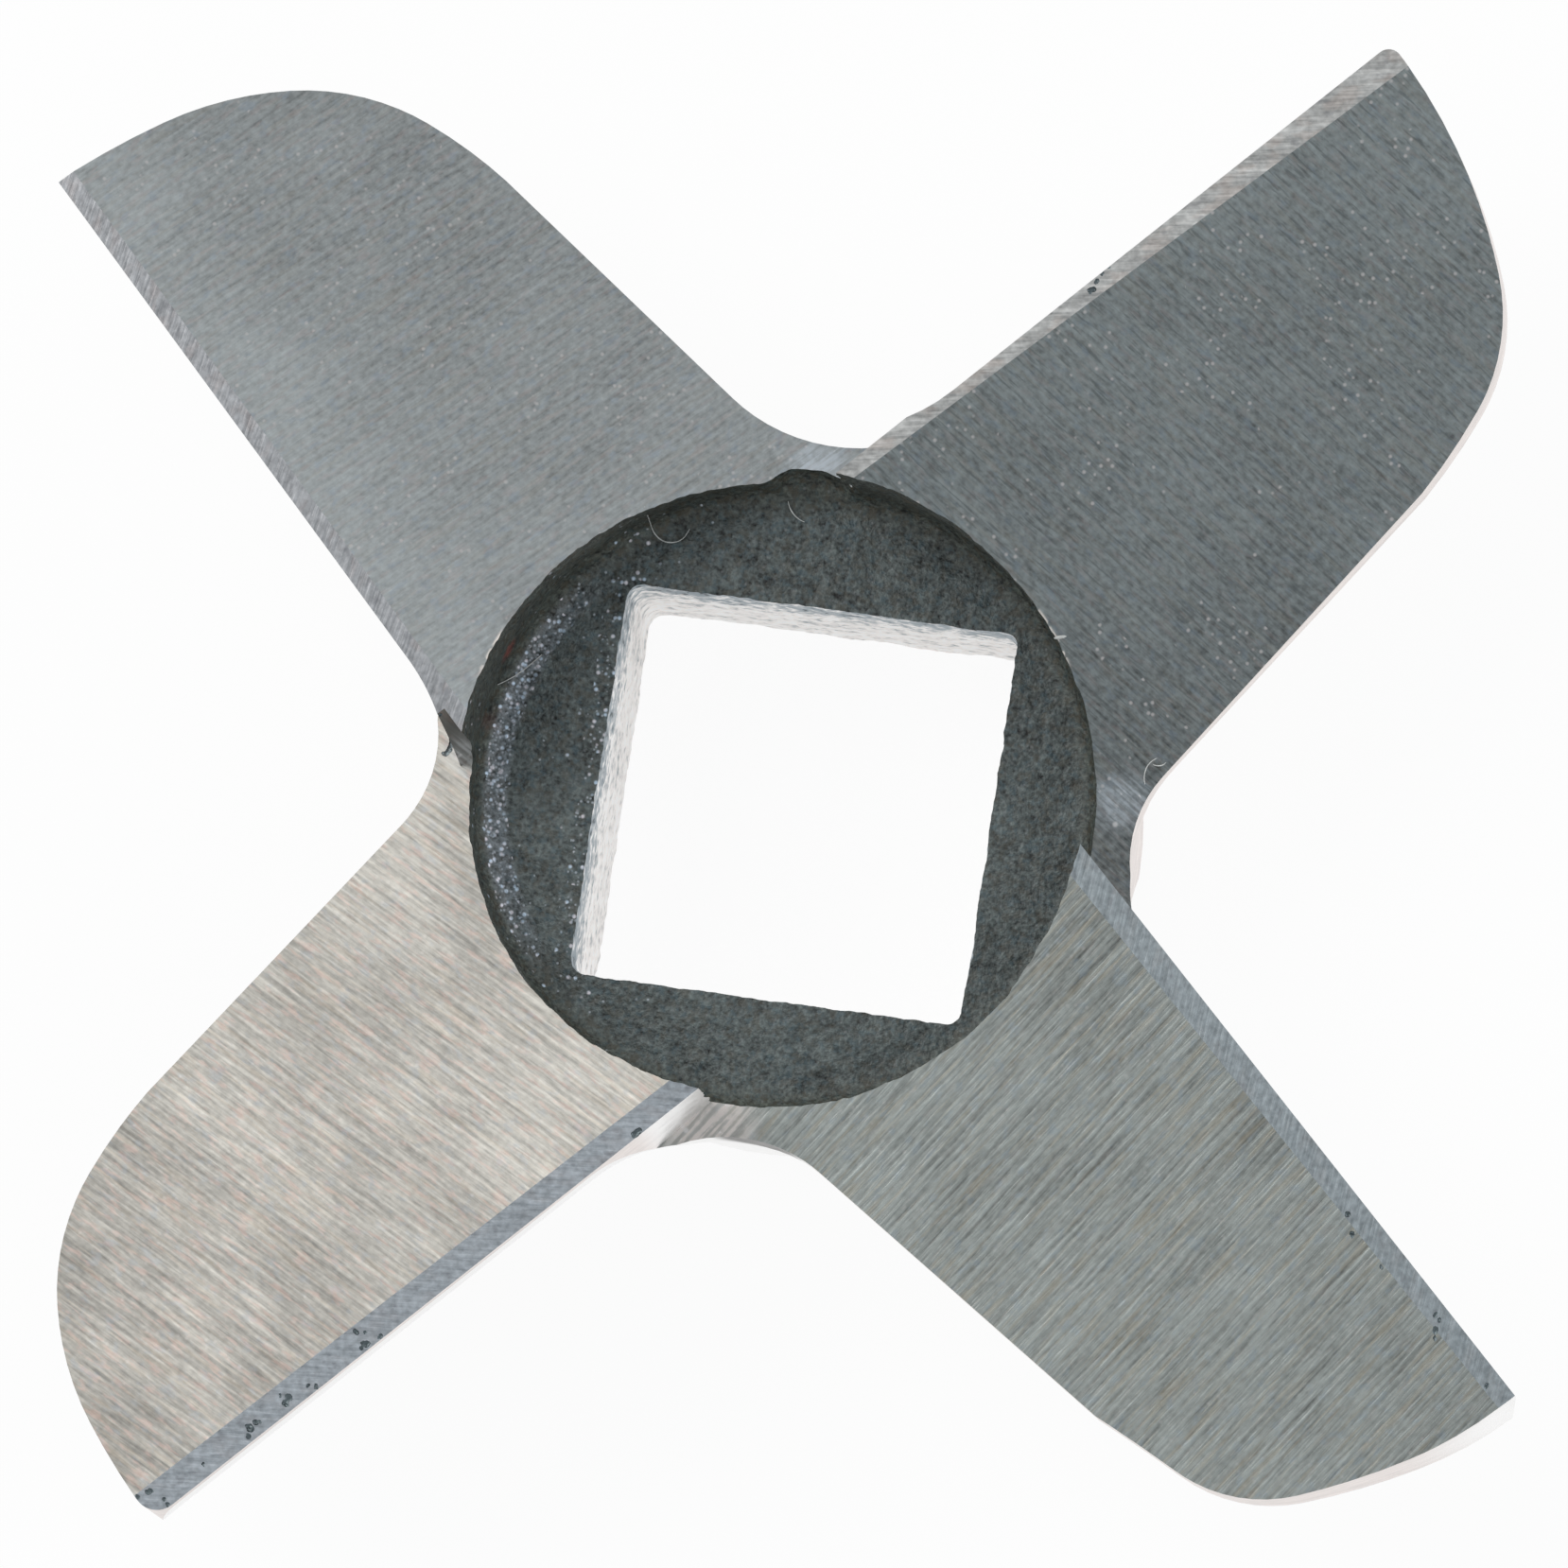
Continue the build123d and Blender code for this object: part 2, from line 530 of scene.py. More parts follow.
print("plug faces", PLUG_FACE, "mm")

# %% [markdown]
# On the two far blades the cutting edge bends away in the root, still at the
# height of the land. So a thin sliver is joined on there, with a curve for its
# outer side. It is drawn on its blade: where the curve leaves the cutting edge,
# the radius of the curve, and where the sliver ends, in mm from the axis. Its end
# slopes down to the lower face of the next blade, and has that face's finish.

# %% Root slivers
ROOT_SLIVERS = {"far_left": (10.6, 7.5, 7.3), "far_right": (10.4, 4.0, 8.6)}
SLIVER_STEPS = 16
SLIVER_BASE = 6.8
SLIVER_TOP = 10.29
SLIVER_SLOPE = 2.7
SLIVER_LIP = 0.3
SLIVER_OVERLAP = 0.2


def on_blade(name, out, inset):
    """The place so far out along a blade and so far in from its cutting edge."""
    number = BLADE_NAMES.index(name)
    turn, across = radians(BLADE_TURNS[number]), BLADE_LEADS[number] - inset
    return out * cos(turn) - across * sin(turn), out * sin(turn) + across * cos(turn)


def make_sliver(name, start, radius, end):
    """The sliver in one root, with the land's finish on top."""
    outer, inner = [], []
    for step in range(SLIVER_STEPS + 1):
        out = start + (end - start) * step / SLIVER_STEPS
        bend = radius - sqrt(radius**2 - (start - out) ** 2)
        outer.append(on_blade(name, out, -bend))
        inner.append(on_blade(name, out, SLIVER_OVERLAP))
    ring = outer + inner[::-1]
    shape = bmesh.new()
    base = shape.faces.new([shape.verts.new((x * MM, y * MM, SLIVER_BASE * MM)) for x, y in ring])
    grown = bmesh.ops.extrude_face_region(shape, geom=[base])
    turn = radians(BLADE_TURNS[BLADE_NAMES.index(name)])
    for part in grown["geom"]:
        if isinstance(part, bmesh.types.BMVert):
            out = (part.co.x * cos(turn) + part.co.y * sin(turn)) / MM
            slope = SLIVER_BASE + SLIVER_LIP + (out - end) * SLIVER_SLOPE
            part.co.z = min(SLIVER_TOP, slope) * MM
    bmesh.ops.triangulate(shape, faces=shape.faces)
    bmesh.ops.recalc_face_normals(shape, faces=shape.faces)
    for face in shape.faces:
        sloping, upright = face.normal.z < FALLING, face.normal.z < UPRIGHT
        face.material_index = int(sloping) + int(upright)
    mesh = bpy.data.meshes.new("sliver")
    shape.to_mesh(mesh)
    shape.free()
    lower = BLADE_NAMES[BLADE_NAMES.index(name) + 1]
    for finish in (f"land {name}", f"ground {lower}", "blade walls"):
        mesh.materials.append(bpy.data.materials[finish])
    sliver = bpy.data.objects.new("sliver", mesh)
    scene.collection.objects.link(sliver)
    return sliver


for name, curve in ROOT_SLIVERS.items():
    combine(knife, make_sliver(name, *curve), "UNION")
    print(name, "joined,", open_edges(knife), "open edges")

# %% [markdown]
# The pocket's plug is a round bar with a coved end. At one place the real pocket
# bulges out a little, as it was cast, so a small egg is joined to the bar there
# before the remesh makes one skin of the two. Each pass of roughness is a grain
# and a depth in mm.

# %% Pocket
POCKET_CENTRE = (-0.25 * MM, 0.1 * MM)
POCKET_RADIUS = 10.1 * MM
POCKET_FLOOR = TOP - 4.1 * MM
POCKET_COVE = 0.8 * MM
POCKET_SPARE = 0.1 * MM
POCKET_PLUG_DEPTH = 5 * MM
POCKET_ROUGHNESS = ((1.7, 0.1), (0.6, 0.09), (0.28, 0.08))
BULGE_PLACE = (-0.7, 10.05, 7.5)
BULGE_SIZE = (1.5, 0.8, 1.3)


def make_pocket_plug():
    """A rough round bar, from just under the pocket's floor to above the knife."""
    bottom = POCKET_FLOOR - POCKET_SPARE
    plug = fresh(
        bpy.ops.mesh.primitive_cylinder_add,
        vertices=128,
        radius=POCKET_RADIUS + POCKET_SPARE,
        depth=POCKET_PLUG_DEPTH,
        location=(*POCKET_CENTRE, bottom + POCKET_PLUG_DEPTH / 2),
    )
    place_applied(plug)
    apply_modifier(plug, "BEVEL", width=POCKET_COVE, segments=6, limit_method="ANGLE")
    egg = fresh(
        bpy.ops.mesh.primitive_ico_sphere_add,
        subdivisions=4,
        radius=1.0,
        location=Vector(BULGE_PLACE) * MM,
        scale=Vector(BULGE_SIZE) * MM,
    )
    place_applied(egg)
    join([plug, egg], "pocket_plug")
    apply_modifier(plug, "REMESH", mode="VOXEL", voxel_size=PLUG_FACE * MM)
    for grain, depth in POCKET_ROUGHNESS:
        roughen(plug, grain, depth)
    cover(plug, bpy.data.materials["cast pocket"])
    return plug


pocket_plug = make_pocket_plug()
print("pocket plug", len(pocket_plug.data.polygons), "faces")
combine(knife, pocket_plug, "DIFFERENCE")
print("knife", len(knife.data.polygons), "faces,", open_edges(knife), "open edges")

# %% [markdown]
# The drive hole is broached from a round hole, and the broach tears the steel into
# short ridges that lie along each wall. Its plug is a square bar with small round
# corners. Coarse noise roughens it, drawn out along the walls, and then fine noise.

# %% Drive hole
HOLE_SIDE = 12.8 * MM
HOLE_CORNER = 0.5 * MM
HOLE_SPARE = 0.05 * MM
HOLE_PLUG_DEPTH = 12 * MM
HOLE_PLUG_MIDDLE = (0, 0, 3 * MM)


def make_hole_plug():
    """A rough square bar, right through the hub."""
    side = HOLE_SIDE + 2 * HOLE_SPARE
    plug = fresh(bpy.ops.mesh.primitive_cube_add, size=1.0, location=HOLE_PLUG_MIDDLE)
    plug.scale = (side, side, HOLE_PLUG_DEPTH)
    place_applied(plug)
    apply_modifier(plug, "BEVEL", width=HOLE_CORNER, segments=4, limit_method="ANGLE")
    apply_modifier(plug, "REMESH", mode="VOXEL", voxel_size=PLUG_FACE * MM)
    roughen(plug, grain=0.7, depth=0.12, stretch=(1.6, 1.6, 0.8))
    roughen(plug, grain=0.3, depth=0.1)
    cover(plug, bpy.data.materials["drive walls"])
    return plug


hole_plug = make_hole_plug()
print("hole plug", len(hole_plug.data.polygons), "faces")
combine(knife, hole_plug, "DIFFERENCE")
print("knife", len(knife.data.polygons), "faces,", open_edges(knife), "open edges")

# %% [markdown]
# Casting pits lie open where the lands were ground through them, and a row of
# them nicks the far right edge. Each pit is known by its blade, how far out it lies,
# how far in from the cutting edge and its radius, in mm. Small balls, each turned
# by an angle of its own, are dropped on the surface there. A remesh melts them into
# one lump, which is roughened and cut away.
# A curved fold of the casting, beside the pocket, is a row of such balls.

# %% Pits
PITS = {
    "far_right": [(17.8, 0.25, 0.13), (18.1, 0.12, 0.09), (18.4, 0.02, 0.08), (18.7, 0.0, 0.06)],
    "near_left": [
        (10.5, 0.1, 0.16), (21.0, 0.1, 0.1), (21.3, 0.5, 0.07), (21.5, 0.2, 0.13),
        (21.5, 0.7, 0.1), (21.7, 0.2, 0.07), (23.6, 0.1, 0.1), (23.8, 0.3, 0.07),
        (24.5, 0.4, 0.12), (24.7, 0.3, 0.12), (24.7, 0.6, 0.07), (25.8, 0.4, 0.12),
        (26.1, 0.4, 0.14), (26.3, 0.2, 0.09), (28.0, 0.4, 0.08), (29.7, 0.1, 0.08),
        (29.7, 0.3, 0.08), (29.9, 0.8, 0.12), (30.3, 0.9, 0.09),
    ],
    "near_right": [
        (22.4, 0.6, 0.1), (23.0, 0.9, 0.1), (24.4, 0.8, 0.09), (26.7, 0.4, 0.09),
        (26.9, 0.4, 0.08), (27.1, 0.7, 0.13), (27.3, 0.9, 0.09), (29.5, 0.5, 0.09),
    ],
}
FOLD_CENTRE = (-11.9, 0.45)
FOLD_RADIUS = 0.68
FOLD_ARC = (-40, 50)
FOLD_BALLS = 9
FOLD_BALL = 0.13
BALL_SHAPE = (1.3, 0.9, 0.5)
PIT_FACE = 0.03
FEELER_HEIGHT = 50


def surface_height(x, y):
    """How high the knife stands at a place in mm, felt from above."""
    above, down = Vector((x, y, FEELER_HEIGHT)) * MM, Vector((0, 0, -1))
    hit, place, _, _ = knife.ray_cast(above, down)
    return place.z / MM if hit else 0.0


def drop_ball(x, y, radius):
    """A squashed ball that sits half in the surface."""
    ball = fresh(
        bpy.ops.mesh.primitive_ico_sphere_add,
        subdivisions=2,
        radius=radius * MM,
        location=(x * MM, y * MM, surface_height(x, y) * MM),
        rotation=(0, 0, 3 * x),
        scale=BALL_SHAPE,
    )
    place_applied(ball)
    return ball


def make_pit_plug():
    """All the pits and the fold, as one rough lump to cut with."""
    balls = []
    for name, pits in PITS.items():
        for out, inset, radius in pits:
            balls.append(drop_ball(*on_blade(name, out, inset), radius))
    for step in range(FOLD_BALLS):
        turn = radians(FOLD_ARC[0] + (FOLD_ARC[1] - FOLD_ARC[0]) * step / (FOLD_BALLS - 1))
        x = FOLD_CENTRE[0] + FOLD_RADIUS * cos(turn)
        y = FOLD_CENTRE[1] + FOLD_RADIUS * sin(turn)
        balls.append(drop_ball(x, y, FOLD_BALL))
    plug = join(balls, "pit_plug")
    apply_modifier(plug, "REMESH", mode="VOXEL", voxel_size=PIT_FACE * MM)
    roughen(plug, grain=0.13, depth=0.11)
    cover(plug, bpy.data.materials["pit skin"])
    return plug


pit_plug = make_pit_plug()
print("pit plug", len(pit_plug.data.polygons), "faces")
combine(knife, pit_plug, "DIFFERENCE")
print("knife", len(knife.data.polygons), "faces,", open_edges(knife), "open edges")

# %% [markdown]
# Smooth shading would round every corner, so the edges where one finish meets
# another are marked sharp first. Within a finish, only real corners stay sharp.

# %% Shade the knife
CORNER_ANGLE = radians(38)


def shade(knife):
    """Sharp between finishes and at corners, smooth on the arcs."""
    select(knife)
    shape = bmesh.new()
    shape.from_mesh(knife.data)
    for edge in shape.edges:
        numbers = {face.material_index for face in edge.link_faces}
        edge.smooth = len(numbers) == 1
    shape.to_mesh(knife.data)
    shape.free()
    bpy.ops.object.shade_smooth_by_angle(angle=CORNER_ANGLE, keep_sharp_edges=True)


shade(knife)
print("finishes", [slot.name for slot in knife.material_slots])

# %% [markdown]
# The falling faces were ground across each blade on a coarse wheel. That leaves
# short straight lines of every strength, all lying one way on a blade but not the
# same way on all four, over the fine grain of the steel itself. A line is a noise
# spot that is drawn out along the stroke. The same lines feed the roughness and a
# very shallow bump, so they also catch the light one by one.
#
# `GROUND` holds what differs from blade to blade: the angle of the lines, a tint
# that paints the blade lighter or darker as painted light and shade, the strength
# of the long lines, the short ones and the grit, that of the dark dashes, the pale
# specks, which are painted glints, and the brown and pink stains, and how the tone
# drifts over the blade, per mm in from its cutting edge and out along it. Near its
# root each face is painted paler in streaks over some reach, as painted light, and
# two stretches of the pocket's rim get a painted highlight.

# %% Ground faces
STEEL = (0.36, 0.37, 0.365)
BROWN, PINK, BLUE = (0.50, 0.40, 0.28), (0.52, 0.40, 0.38), (0.30, 0.37, 0.46)
DASH_DARK, SPECK_GLINT = (0.16, 0.17, 0.17), (0.70, 0.65, 0.64)
HOLE_DARK, FLECK_PALE = (0.10, 0.10, 0.11), (0.76, 0.74, 0.74)
BLADE_MIDDLE = {"in": 6.0, "out": 19.0}
EDGE_BAND = (1.0, 4.5)
RIM_RADIUS = 10.2
RIM_HIGHLIGHT_WIDTH = 0.09
RIM_HIGHLIGHT_STEEL = (0.92, 0.84, 0.78)
RIM_HIGHLIGHTS = {"far_left": (-9.7, 3.0, 9.3), "far_right": (7.8, 6.1, 8.8)}
ROOT_LIGHT_PATCHES = {
    "far_right": ((10.7, 1.3, 7.3), 1.3, (0.38, 0.42, 0.46)),
    "far_left": ((-0.6, 10.8, 7.3), 1.5, (0.50, 0.55, 0.60)),
    "near_left": ((-10.7, 0.3, 7.8), 1.4, (0.42, 0.43, 0.43)),
    "near_right": ((-1.1, -10.8, 7.2), 2.3, (0.66, 0.60, 0.57)),
}
# Each blade's tint paints that blade lighter or darker: painted light and shade.
GROUND = {
    "far_right": {
        "lines": -33.7, "painted_light_tint": (0.71, 0.75, 0.765), "long": 0.35, "short": 0.7, "sand": 1.1,
        "dark": 0.5, "speck_glints": 0.6, "warm": 0.12, "pink": 0.2,
        "across": -0.014, "along": 0.006, "edge": 0.0,
    },
    "far_left": {
        "lines": 45.3, "painted_light_tint": (0.96, 0.98, 1.0), "long": 0.3, "short": 0.5, "sand": 0.85,
        "dark": 0.12, "speck_glints": 0.45, "warm": 0.1, "pink": 0.2,
        "across": -0.008, "along": -0.006, "edge": 0.16,
    },
    "near_left": {
        "lines": -28.7, "painted_light_tint": (0.82, 0.78, 0.74), "long": 0.45, "short": 0.58, "sand": 0.3,
        "dark": 0.2, "speck_glints": 0.1, "warm": 0.14, "pink": 0.4,
        "across": 0.0, "along": -0.012, "edge": 0.04,
    },
    "near_right": {
        "lines": 52.8, "painted_light_tint": (0.92, 0.95, 0.93), "long": 0.75, "short": 0.95, "sand": 0.5,
        "dark": 0.15, "speck_glints": 0.15, "warm": 0.25, "pink": 0.08,
        "across": 0.013, "along": 0.003, "edge": 0.0,
    },
}


def rgba(color):
    """A colour with its alpha."""
    return (*color, 1.0)


def tinted(color, painted_light_tint):
    """One colour times another."""
    return [part * share for part, share in zip(color, painted_light_tint)]


def drift(sheet, name, across, along, edge):
    """How much paler a place on a blade is than the middle of the blade."""
    number = BLADE_NAMES.index(name)
    turn = radians(BLADE_TURNS[number])
    out = sheet.axis(0) * cos(turn) + sheet.axis(1) * sin(turn)
    inset = sheet.axis(0) * sin(turn) - sheet.axis(1) * cos(turn) + BLADE_LEADS[number]
    slope = (inset - BLADE_MIDDLE["in"]) * across + (out - BLADE_MIDDLE["out"]) * along
    return slope + (1.0 - inset.ramp(*EDGE_BAND)) * edge


def ground_face(
    name, lines, painted_light_tint, long, short, sand, dark, speck_glints, warm, pink, across, along, edge, shift
):
    """The finish of one falling face."""
    sheet = Finish(f"ground steel {name}")
    x, y = shift
    long_lines = sheet.grain(8.0, 0.17, lines, (x, y)) - 0.5
    short_lines = sheet.grain(1.9, 0.13, lines + 1.5, (x + 3, y)) - 0.5
    crossing = sheet.grain(1.6, 0.12, lines - 5, (x, y + 9)) - 0.5
    grit = sheet.grain(0.27, 0.2, lines, (x + 5, y + 5)) - 0.5
    clouds = sheet.grain(6.0, 4.0, lines, (x + 2, y - 7)) - 0.5
    strokes = long_lines * long + short_lines * short + crossing * (short * 0.5)
    pattern = strokes + grit * sand + clouds * 0.45
    tone = pattern + 1.0 + drift(sheet, name, across, along, edge)
    color = sheet.blend(1.0, rgba(tinted(STEEL, painted_light_tint)), tone, "MULTIPLY")
    brown = sheet.grain(3.5, 0.22, lines, (x - 9, y + 1)).ramp(0.5, 0.72)
    color = sheet.blend(brown * warm, color, rgba(tinted(BROWN, painted_light_tint)))
    rosy = sheet.grain(0.8, 0.2, lines, (x + 7, y - 3)).ramp(0.52, 0.72)
    color = sheet.blend(rosy * pink, color, rgba(tinted(PINK, painted_light_tint)))
    blue = sheet.grain(0.6, 0.35, lines, (x - 4, y - 6)).ramp(0.55, 0.75)
    color = sheet.blend(blue * 0.25, color, rgba(tinted(BLUE, painted_light_tint)))
    dashes = sheet.grain(1.1, 0.13, lines, (x + 1, y + 12)).ramp(0.57, 0.72)
    color = sheet.blend(dashes * dark, color, rgba(tinted(DASH_DARK, painted_light_tint)))
    # Pale specks: painted glints, pale dots put in the colour.
    patch = sheet.grain(4.0, 2.5, lines, (x + 6, y + 6)).ramp(0.4, 0.65)
    points = sheet.dots(0.25, 0.18, patch * 0.42, (x, y))
    color = sheet.blend(points * speck_glints, color, rgba(SPECK_GLINT))
    holes = sheet.dots(1.6, 0.2, 0.25, (y, x))
    color = sheet.blend(holes * 0.5, color, rgba(HOLE_DARK))
    # Near its root the face is painted paler in streaks and made less metallic there: painted
    # light.
    root, reach, painted_shine = ROOT_LIGHT_PATCHES[name]
    root_light = 1.0 - sheet.distance(root).ramp(reach * 0.3, reach)
    streaks = (long_lines + short_lines + grit * 0.5 + 0.5).ramp(0.35, 0.75)
    root_light = root_light * (streaks * 0.6 + 0.35).clamp()
    color = sheet.blend(root_light, color, rgba(painted_shine))
    flecks = sheet.dots(0.3, 0.26, root_light * 0.6, (y, y))
    color = sheet.blend(flecks * 0.6, color, rgba(FLECK_PALE))
    # Two stretches of the pocket's rim get a painted highlight, a thin pale line broken in
    # places.
    if name in RIM_HIGHLIGHTS:
        rim_highlight = 1.0 - sheet.radius(POCKET_CENTRE).ramp(RIM_RADIUS, RIM_RADIUS + RIM_HIGHLIGHT_WIDTH)
        near = 1.0 - sheet.distance(RIM_HIGHLIGHTS[name]).ramp(0.7, 1.4)
        highlight_breaks = sheet.grain(0.4, 0.4, 0.0, (x, y)).ramp(0.35, 0.5)
        color = sheet.blend(rim_highlight * near * highlight_breaks, color, rgba(RIM_HIGHLIGHT_STEEL))
    normal = sheet.bump(strokes + grit * (sand * 0.4) + 0.5, 0.012)
    sheet.surface(
        Base_Color=color,
        Metallic=(1.0 - root_light * 0.7).clamp(),
        Roughness=(0.45 - pattern * 0.2).clamp(),
        Normal=normal,
    )
    return sheet.material


def refinish(knife, old_name, material):
    """Puts a finished material in the slot that has only its name so far."""
    for slot in knife.material_slots:
        if slot.material and slot.material.name == old_name:
            slot.material = material


for number, name in enumerate(BLADE_NAMES):
    face = ground_face(name, shift=(13.0 * number, 7.0 * number), **GROUND[name])
    refinish(knife, f"ground {name}", face)
print("ground faces", list(GROUND))

# %% [markdown]
# The lands were stoned flat last, all four together, so they are level and
# smoother, with faint slanting scratches from the stone. Their steel is painted a
# little bluer, a painted reflection of the light from above, and each land's tint
# paints it lighter or darker, as painted light and shade.

# %% Lands
LAND_STEEL = (0.45, 0.47, 0.49)
LAND_STAIN, LAND_PINK = (0.2, 0.2, 0.22), (0.55, 0.44, 0.40)
LANDS = {
    "far_right": {"lines": 10.0, "painted_light_tint": (1.1, 1.04, 0.98), "marks": 1.1},
    "far_left": {"lines": 80.0, "painted_light_tint": (0.88, 0.85, 0.85), "marks": 0.8},
    "near_left": {"lines": 5.0, "painted_light_tint": (0.88, 0.90, 0.93), "marks": 0.5},
    "near_right": {"lines": 85.0, "painted_light_tint": (0.8, 0.84, 0.85), "marks": 0.5},
}


def stoned_land(name, lines, painted_light_tint, marks, shift):
    """The finish of one land."""
    sheet = Finish(f"stoned land {name}")
    x, y = shift
    scratch = sheet.grain(1.6, 0.12, lines, (x, y)) - 0.5
    stripe = sheet.grain(2.5, 0.4, lines + 3, (x + 4, y)) - 0.5
    grit = sheet.grain(0.25, 0.2, lines, (x, y + 5)) - 0.5
    tone = (scratch * 0.6 + stripe * 0.7) * marks + grit * 0.8 + 1.0
    color = sheet.blend(1.0, rgba(tinted(LAND_STEEL, painted_light_tint)), tone, "MULTIPLY")
    stain = sheet.grain(0.6, 0.35, lines, (x + 8, y)).ramp(0.6, 0.74)
    color = sheet.blend(stain * 0.35, color, rgba(LAND_STAIN))
    pink = sheet.grain(1.2, 0.6, lines, (x - 6, y)).ramp(0.5, 0.7)
    color = sheet.blend(pink * 0.2 * marks, color, rgba(tinted(LAND_PINK, painted_light_tint)))
    normal = sheet.bump(scratch + stripe + 0.5, 0.008)
    sheet.surface(
        Base_Color=color, Metallic=1.0, Roughness=(0.42 + scratch * 0.2).clamp(), Normal=normal
    )
    return sheet.material


for number, name in enumerate(BLADE_NAMES):
    land = stoned_land(name, shift=(9.0 * number, 5.0 * number), **LANDS[name])
    refinish(knife, f"land {name}", land)
print("lands", list(LANDS))

# %% [markdown]
# The walls of the blades and of the boss are brighter, and mirror the pale room.
# The near side of the boss and the tip of the near right blade get a painted
# highlight, brightest of all, and a short stretch of the wall in the near root
# gets a painted shadow, almost black. The back is duller and the pits are dark,
# with more mottling.

# %% Walls and back
WALL_STEEL = (0.82, 0.76, 0.735)
EDGE_AND_HIGHLIGHT_STEEL = (1.0, 0.995, 0.99)
BACK_STEEL = (0.50, 0.49, 0.48)
PIT_STEEL = (0.13, 0.155, 0.165)
FLANK_SHADOW_STEEL = (0.08, 0.075, 0.07)
BOSS_HIGHLIGHT_RADII = (11.5, 12.5)
FLANK_SHADOW = (0.65, -11.2, 6.9)
TIP_HIGHLIGHT = (26.0, -15.6, 8.2)


def steel_skin(name, steel, mottling):
    """Steel with faint level lines and some mottling; walls also get painted highlights and a
    painted shadow.
    """
    sheet = Finish(name)
    lines = sheet.grain(6.0, 6.0, 0.0, (1, 2), depth=0.16) - 0.5
    mottle = sheet.grain(0.6, 0.6, 0.0, (3, 4), depth=0.45) - 0.5
    tone = lines * 0.4 + mottle * mottling + 1.0
    color = sheet.blend(1.0, rgba(steel), tone, "MULTIPLY")
    # The near side of the boss and the near right tip: painted highlight.
    if name.startswith("blade"):
        near = (sheet.axis(1) / sheet.radius((0, 0)) * -1.0).ramp(0.5, 0.85)
        boss_highlight = near * (1.0 - sheet.radius((0, 0)).ramp(*BOSS_HIGHLIGHT_RADII))
        tip_highlight = 1.0 - sheet.distance(TIP_HIGHLIGHT).ramp(1.5, 5.0)
        color = sheet.blend((boss_highlight + tip_highlight).clamp(), color, rgba(EDGE_AND_HIGHLIGHT_STEEL))
    # A short stretch of wall in the near root: painted shadow, almost black.
    if name.startswith(("blade", "edge")):
        flank_shadow = 1.0 - sheet.distance(FLANK_SHADOW).ramp(1.0, 1.7)
        color = sheet.blend(flank_shadow * 0.9, color, rgba(FLANK_SHADOW_STEEL))
    normal = sheet.bump(lines + mottle + 0.5, 0.02)
    sheet.surface(
        Base_Color=color, Metallic=1.0, Roughness=(0.4 + mottle * 0.3).clamp(), Normal=normal
    )
    return sheet.material


refinish(knife, "blade walls", steel_skin("blade walls bright", WALL_STEEL, 0.35))
refinish(knife, "edge walls", steel_skin("edge walls bright", EDGE_AND_HIGHLIGHT_STEEL, 0.1))
refinish(knife, "cast back", steel_skin("cast back skin", BACK_STEEL, 1.2))
refinish(knife, "pit skin", steel_skin("pit skin dark", PIT_STEEL, 1.5))
print("walls", WALL_STEEL, "back", BACK_STEEL)

# %% [markdown]
# The cast pocket is dark, dull and grainy, like fine sandpaper. Pale dots are
# painted in as glints on the grains, most of all on the left, in the cove, which
# also gets a painted sheen, and along the drive hole. The wall is painted darker
# and browner than the pocket's floor, as painted shade, and two rusty spots lie on
# it, each placed by its distance from a point.

# %% Cast pocket
CAST_DARK = (0.082, 0.097, 0.096)
OLIVE = (0.075, 0.070, 0.055)
TEAL = (0.06, 0.10, 0.12)
RUST = (0.26, 0.055, 0.04)
WALL_SHADE = (0.70, 0.67, 0.58)
GRAIN_PALE, GRAIN_DARK = (0.20, 0.21, 0.22), (0.03, 0.035, 0.033)
COVE_SHEEN, SPARK = (0.30, 0.33, 0.38), (0.50, 0.54, 0.60)
GLINT_PINK, GLINT_BLUE = (0.82, 0.78, 0.84), (0.62, 0.76, 0.92)
WALL_START, WALL_FULL = 9.2, 10.1
COVE_INNER, COVE_OUTER = (9.0, 9.3), (9.75, 10.0)
LIP_EDGE = (6.8, 7.3)
RUST_SPOTS = {(-9.8, 1.2, 6.8): 0.7, (-9.6, 3.5, 7.2): 0.6}


